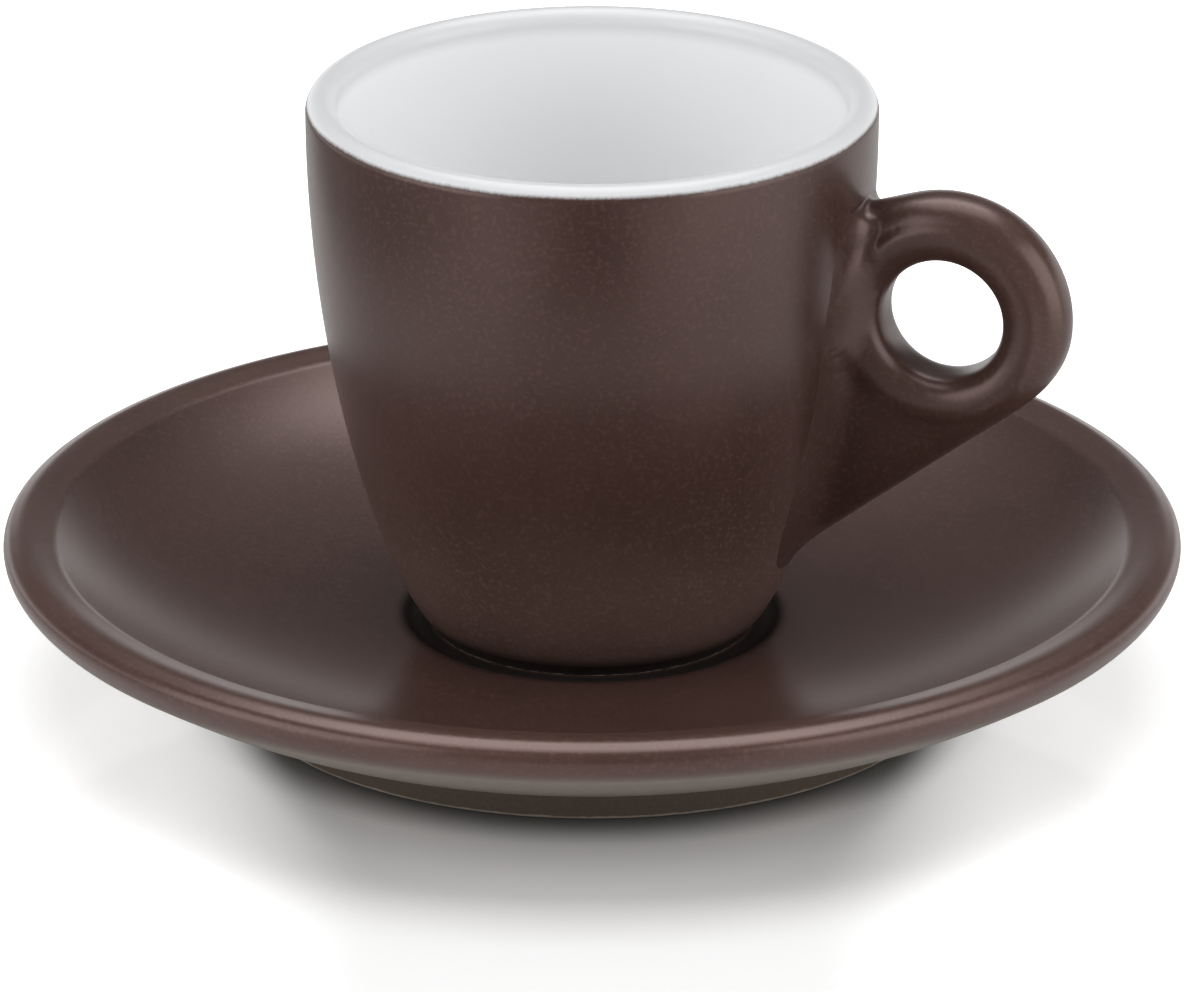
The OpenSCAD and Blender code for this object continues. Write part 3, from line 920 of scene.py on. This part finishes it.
def floor_material(stage, right, behind):
    """The floor's colour with a painted shadow round the foot, and painted light that whitens it
    for the camera.
    """
    g = material_graph("pale_floor")
    where = g.place()
    away = g.measure("LENGTH", where)
    aside = g.maths("ABSOLUTE", g.measure("DOT_PRODUCT", where, right), 0)
    past = g.measure("DOT_PRODUCT", where, behind)
    # Painted shadow round the saucer's foot, in the floor's colour
    top = g.add("ShaderNodeBsdfPrincipled", {
        "Base Color": g.mix(g.ramp(away, *SHADE_RAMP), stage.floor, FOOT_SHADE),
        "Roughness": FLOOR_ROUGH, "IOR": FLOOR_IOR})
    # Painted light, seen by the camera only, that lifts the floor's shadow beside and behind the
    # saucer and whitens the floor far from it
    beside_it = g.times(g.ramp(aside, *BESIDE_RAMP), g.ramp(g.plus(away, aside), *BESIDE_FROM))
    behind_it = g.times(g.ramp(past, *BEHIND_RAMP), g.ramp(away, *BEHIND_FROM))
    far_off = g.plus(g.ramp(away, *NEAR_RAMP), g.ramp(away, *FAR_RAMP))
    # Painted reflection: a faint dark ring of the saucer's outline, taken out of the painted light
    before = tuple(-MIRROR_BEFORE * way for way in behind)
    mirrored = g.times(g.ramp(g.measure("DISTANCE", where, before), *MIRROR_RAMP),
                       g.ramp(aside, *MIRROR_FROM))
    painted_lift = g.maths("SUBTRACT", g.plus(g.maths("MAXIMUM", beside_it, behind_it), far_off), mirrored)
    seen = g.add("ShaderNodeLightPath").outputs["Is Camera Ray"]
    # The painted light glows for the camera only
    painted_glow = g.add("ShaderNodeEmission", {"Color": (1, 1, 1), "Strength": g.times(painted_lift, seen)})
    both = g.add("ShaderNodeAddShader", {0: top.outputs[0], 1: painted_glow.outputs[0]})
    return g.end(both.outputs[0])


def studio(scene, behind):
    """White for the camera; for the light a dim room with a bright low band behind."""
    world = bpy.data.worlds.get("studio") or bpy.data.worlds.new("studio")
    scene.world = world
    g = Graph(world)
    way = g.add("ShaderNodeTexCoord").outputs["Generated"]
    rise = g.part(way, "Z")
    bands = [g.ramp(rise, math.sin(math.radians(low)), math.sin(math.radians(high)), first, last)
             for low, high, first, last in (LOW_BAND, UPPER_PART)]
    level = g.add("ShaderNodeMix", {
        0: g.ramp(g.measure("DOT_PRODUCT", way, behind), *BEHIND_TURN), 2: FRONT_LEVEL,
        3: g.plus(*bands)}, data_type="FLOAT").outputs[0]
    room = g.add("ShaderNodeBackground", {"Color": (1, 1, 1), "Strength": level})
    white = g.add("ShaderNodeBackground", {"Color": (1, 1, 1), "Strength": 1.0})
    seen = g.add("ShaderNodeLightPath").outputs["Is Camera Ray"]
    both = g.add("ShaderNodeMixShader", {0: seen, 1: room.outputs[0], 2: white.outputs[0]})
    g.end(both.outputs[0], "ShaderNodeOutputWorld")


class ESPRESSO_OT_stage(bpy.types.Operator):
    """Set the pale floor, the soft light and the camera"""
    bl_idname = "espresso.stage"
    bl_label = "Stage"

    def execute(self, context):
        s = context.scene.espresso_stage
        turn = s.turn
        right = (math.cos(turn), math.sin(turn), 0)
        behind = (-math.sin(turn), math.cos(turn), 0)

        deselect()
        bpy.ops.mesh.primitive_circle_add(vertices=96, radius=FLOOR_RADIUS, fill_type="NGON",
                                          location=(0, 0, 0))
        floor = bpy.context.object
        edit()
        bpy.ops.mesh.select_all(action="SELECT")
        bpy.ops.mesh.inset(thickness=FLOOR_INSET)
        bpy.ops.object.mode_set(mode="OBJECT")
        floor.name = floor.data.name = "pale_floor"
        floor.data.materials.append(floor_material(s, right, behind))

        def about(place):
            x, y, z = place
            return (x * right[0] + y * behind[0], x * right[1] + y * behind[1], z)

        for name, place, size, power in SOFTBOXES:
            area_lamp(name, about(place), size, power)
        # Painted reflections: a glowing card and dull cloths that only the gloss sees
        name, place, size, level = PAINTED_GLINT_CARD
        mirrored_sheet(name, about(place), turn, size, "ShaderNodeEmission",
                       {"Color": (1, 1, 1), "Strength": level})
        for name, place, size, grey in PAINTED_REFLECTION_CLOTHS:
            mirrored_sheet(name, about(place), turn, size, "ShaderNodeBsdfDiffuse",
                           {"Color": (grey,) * 3}, one_sided=True)
        studio(context.scene, behind)

        bpy.ops.object.camera_add(
            location=(s.away * math.sin(turn), -s.away * math.cos(turn), s.height),
            rotation=(math.pi / 2 - s.tilt, 0, turn))
        camera = bpy.context.object
        camera.name = "photo_camera"
        camera.data.sensor_fit = "HORIZONTAL"
        camera.data.sensor_width = SENSOR
        camera.data.lens = s.lens
        camera.data.shift_x = SHIFT
        camera.data.clip_start, camera.data.clip_end = CLIP
        context.scene.camera = camera
        context.scene.view_settings.view_transform = "Standard"
        return {"FINISHED"}


class ESPRESSO_PT_panel(bpy.types.Panel):
    """The cup's sizes, glazes and building steps in the 3D view's sidebar"""
    bl_idname = "ESPRESSO_PT_panel"
    bl_label = "Espresso Cup"
    bl_space_type = "VIEW_3D"
    bl_region_type = "UI"
    bl_category = "Espresso Cup"

    def draw(self, context):
        for name, group in GROUPS.items():
            box = self.layout.box()
            box.label(text=group.__doc__)
            settings = getattr(context.scene, name)
            for key in group.__annotations__:
                box.prop(settings, key)
        for step in STEPS:
            self.layout.operator(step.bl_idname)


GROUPS = {
    "espresso_cup": EspressoCupSizes,
    "espresso_handle": EspressoHandleSizes,
    "espresso_saucer": EspressoSaucerSizes,
    "espresso_glazes": EspressoGlazes,
    "espresso_stage": EspressoStage,
}
STEPS = (ESPRESSO_OT_saucer, ESPRESSO_OT_cup_shell, ESPRESSO_OT_handle, ESPRESSO_OT_lining,
         ESPRESSO_OT_stage)
CLASSES = (*GROUPS.values(), *STEPS, ESPRESSO_PT_panel)


def register():
    for made in CLASSES:
        bpy.utils.register_class(made)
    for name, group in GROUPS.items():
        setattr(bpy.types.Scene, name, PointerProperty(type=group))


def unregister():
    for name in GROUPS:
        delattr(bpy.types.Scene, name)
    for made in reversed(CLASSES):
        bpy.utils.unregister_class(made)


def main():
    register()
    for step in (bpy.ops.espresso.saucer, bpy.ops.espresso.cup_shell, bpy.ops.espresso.handle,
                 bpy.ops.espresso.lining, bpy.ops.espresso.stage):
        step()


if __name__ == "__main__":
    main()
